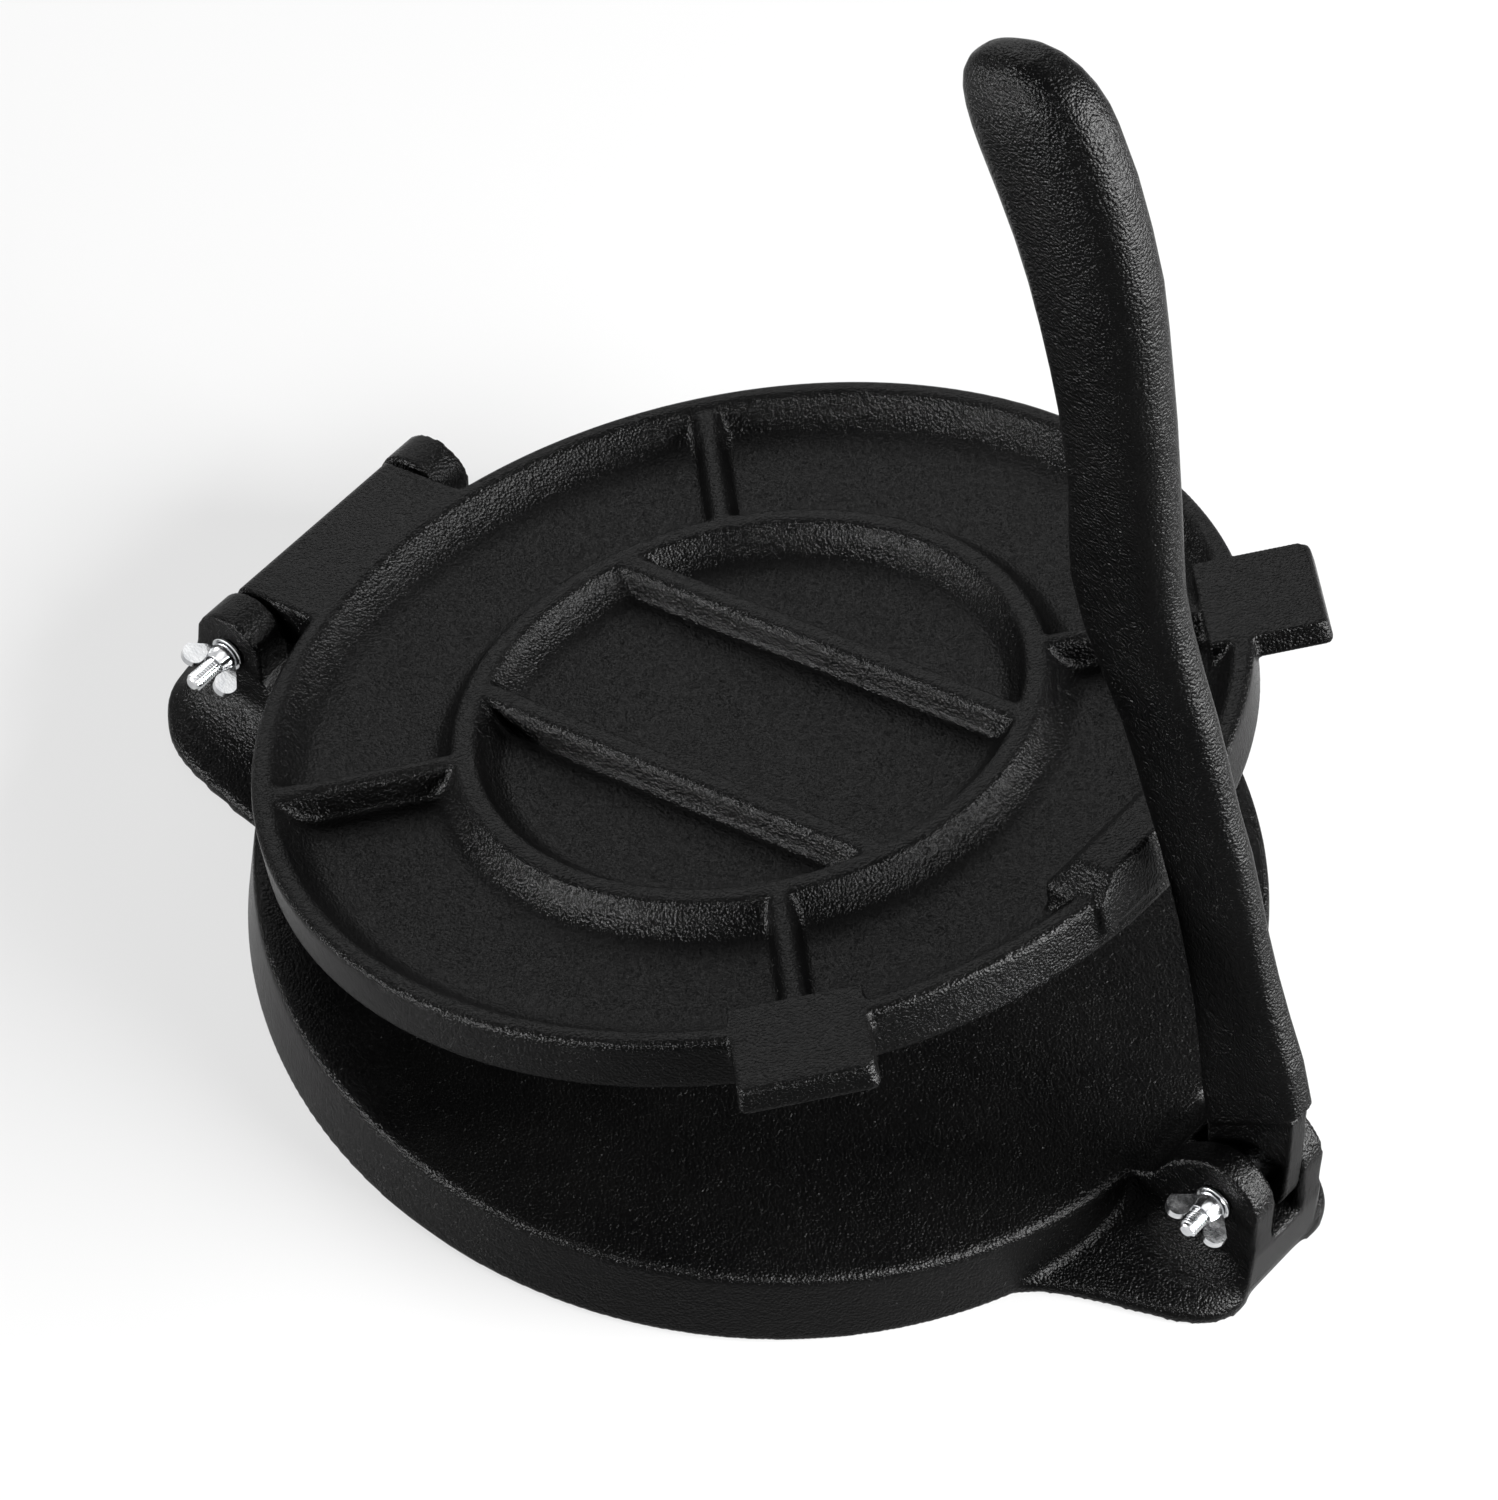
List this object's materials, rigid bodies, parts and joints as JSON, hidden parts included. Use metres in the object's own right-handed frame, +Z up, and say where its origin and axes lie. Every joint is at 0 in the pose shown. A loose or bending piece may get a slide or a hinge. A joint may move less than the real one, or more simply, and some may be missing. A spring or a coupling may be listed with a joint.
{
  "type": "tortilla press",
  "caption": "Cast iron tortilla press: a hinged round lid swings down on a round base plate, and a long lever pivots at the front to press it. Shown partly open.",
  "frame": {"origin": "on the ground under the middle of the press, below the centre of the two round plates", "axes": "+Z up, +X from the lid's hinge towards the lever, +Y across the press, away from the wing nuts"},
  "size_m": [0.339, 0.2684, 0.3606],
  "materials": {
    "seasoned_iron": "black seasoned cast iron with a fine pebbled casting grain and a soft oily sheen",
    "zinc_plated_steel": "bright zinc-plated steel"
  },
  "bodies": {
    "base": {"base_plate": "seasoned_iron", "hinge_bolt": "zinc_plated_steel", "hinge_washer": "zinc_plated_steel", "lever_bolt": "zinc_plated_steel", "lever_washer": "zinc_plated_steel"},
    "lid": {"lid": "seasoned_iron"},
    "lever": {"lever_handle": "seasoned_iron"},
    "hinge_nut": {"hinge_wing_nut": "zinc_plated_steel"},
    "lever_nut": {"lever_wing_nut": "zinc_plated_steel"}
  },
  "joints": [
    {"name": "lid_hinge", "type": "hinge", "parent": "base", "child": "lid", "pos_m": [-0.1475, 0, 0.0315], "axis": [0, -1, 0], "range_deg": [-17.5, 88]},
    {"name": "lever_pivot", "type": "hinge", "parent": "base", "child": "lever", "pos_m": [0.157, 0, 0.034], "axis": [0, 1, 0], "range_deg": [0, 95]},
    {"name": "hinge_nut_turn", "type": "hinge", "parent": "base", "child": "hinge_nut", "pos_m": [-0.1475, -0.047, 0.0315], "axis": [0, -1, 0], "continuous": true},
    {"name": "lever_nut_turn", "type": "hinge", "parent": "base", "child": "lever_nut", "pos_m": [0.157, -0.018, 0.034], "axis": [0, -1, 0], "continuous": true}
  ]
}
